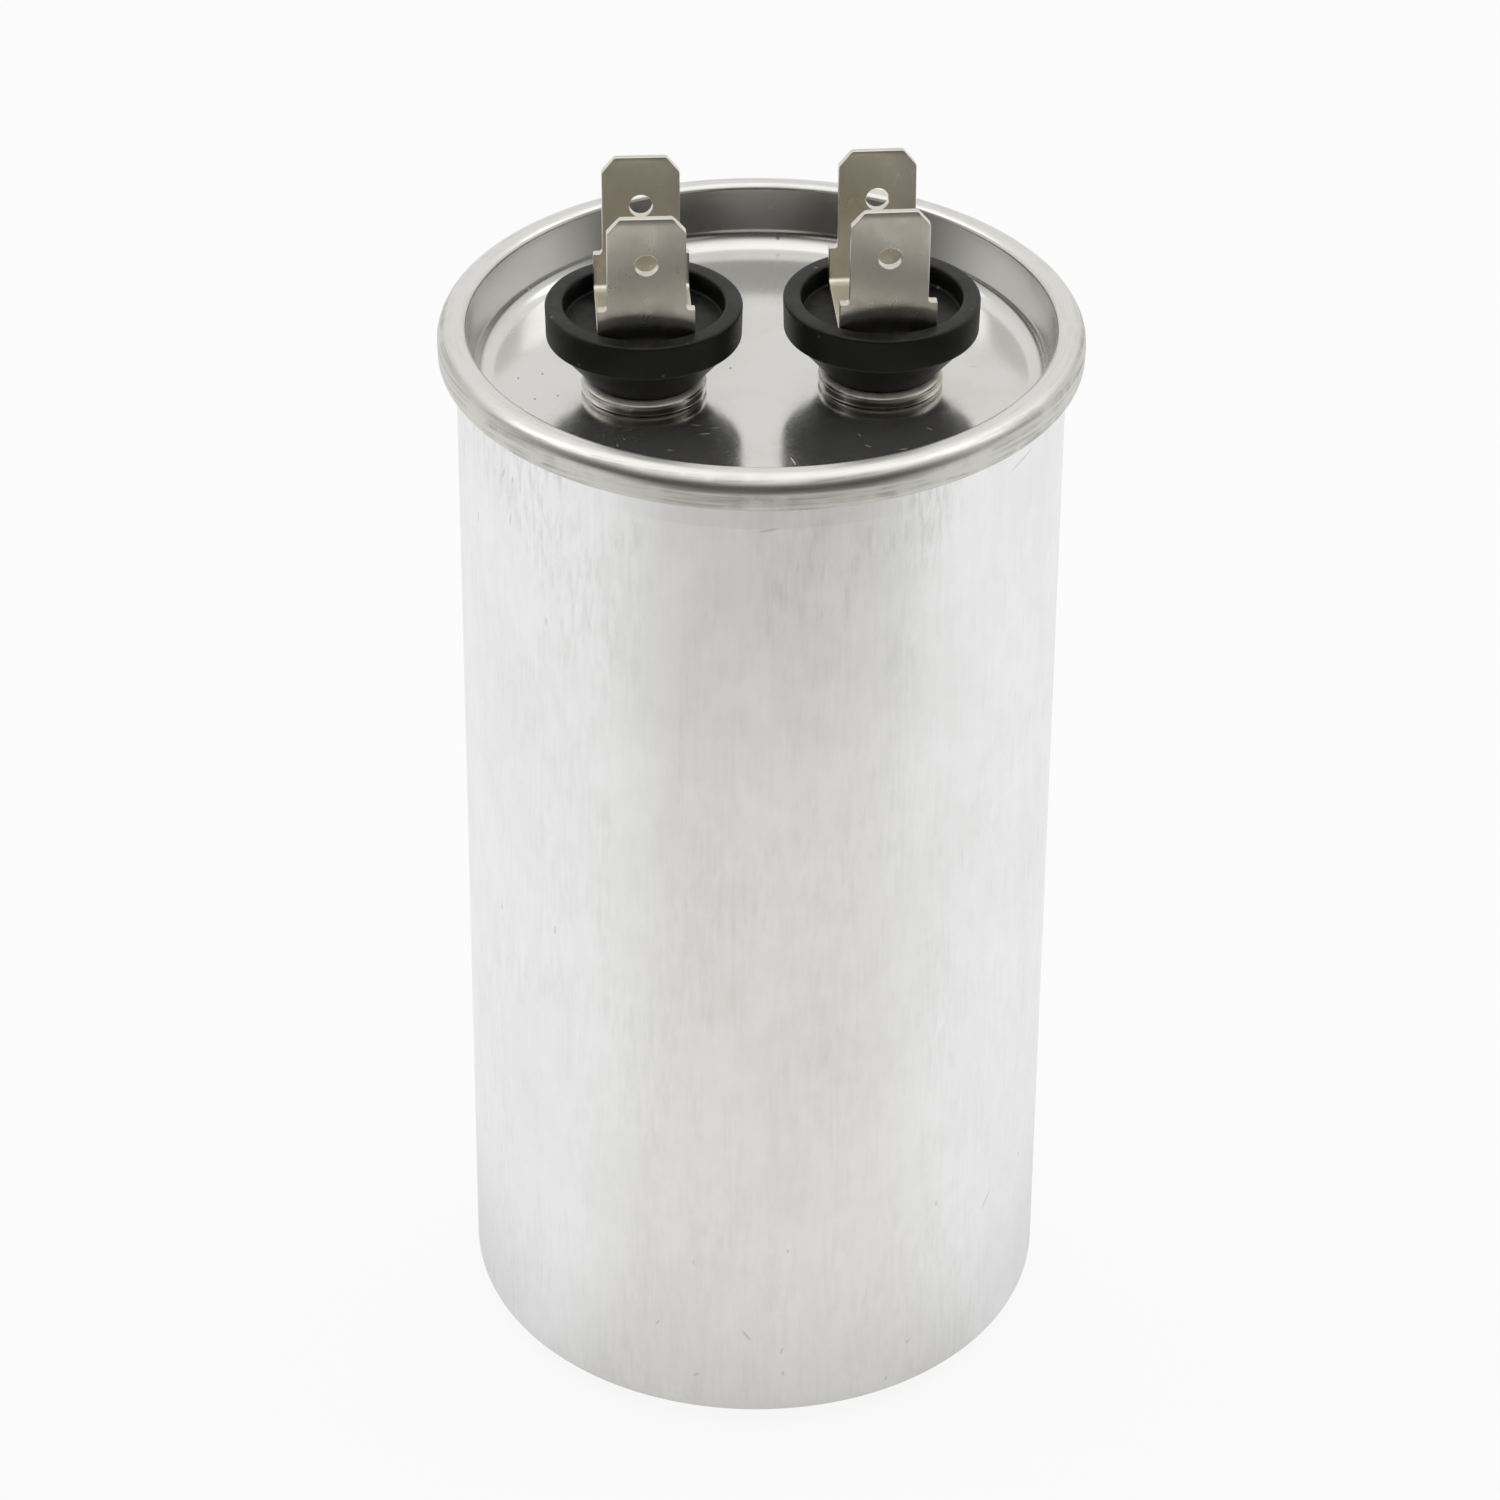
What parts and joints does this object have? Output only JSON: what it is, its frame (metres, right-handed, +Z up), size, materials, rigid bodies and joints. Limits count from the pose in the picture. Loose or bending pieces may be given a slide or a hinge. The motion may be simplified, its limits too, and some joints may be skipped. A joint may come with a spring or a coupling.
{
  "type": "motor run capacitor",
  "caption": "Round motor run capacitor: drawn can with a double-seamed lid, black moulded bushings and folded double blade terminals, with the wound film element inside.",
  "frame": {"origin": "middle of the can's flat bottom", "axes": "+Z up along the can's axis, +X along the row of terminals, -Y towards the front in the picture"},
  "size_m": [0.053, 0.053, 0.1084],
  "materials": {
    "can_aluminium": "satin drawn aluminium with fine upright draw lines",
    "lid_steel": "bright tinned steel, near mirror on the panel, rubbed on the seam",
    "seal_rubber": "seaming compound",
    "bushing_plastic": "black moulded plastic, matte, dusty in the cup",
    "eyelet_plate": "bright plated eyelet",
    "terminal_plate": "satin nickel plate, warm grey",
    "rivet_steel": "plated rivet",
    "insulator_plastic": "natural moulded plastic",
    "lug_brass": "tinned brass",
    "lead_sleeve": "insulated lead",
    "winding_film": "metallised film roll",
    "spray_zinc": "sprayed zinc, rough",
    "wrap_film": "clear wrap film"
  },
  "bodies": {
    "root": {"can": "can_aluminium", "lid": "lid_steel", "seam_seal": "seal_rubber", "left_bushing": "bushing_plastic", "right_bushing": "bushing_plastic", "left_eyelet": "eyelet_plate", "right_eyelet": "eyelet_plate", "left_terminal": "terminal_plate", "right_terminal": "terminal_plate", "left_rivet": "rivet_steel", "right_rivet": "rivet_steel", "left_lower_insulator": "insulator_plastic", "right_lower_insulator": "insulator_plastic", "left_lug": "lug_brass", "right_lug": "lug_brass", "left_lead": "lead_sleeve", "right_lead": "lead_sleeve", "interrupter_disc": "insulator_plastic", "winding": "winding_film", "core_tube": "insulator_plastic", "top_end_spray": "spray_zinc", "bottom_end_spray": "spray_zinc", "winding_wrap": "wrap_film", "bottom_cup": "insulator_plastic"}
  },
  "joints": []
}
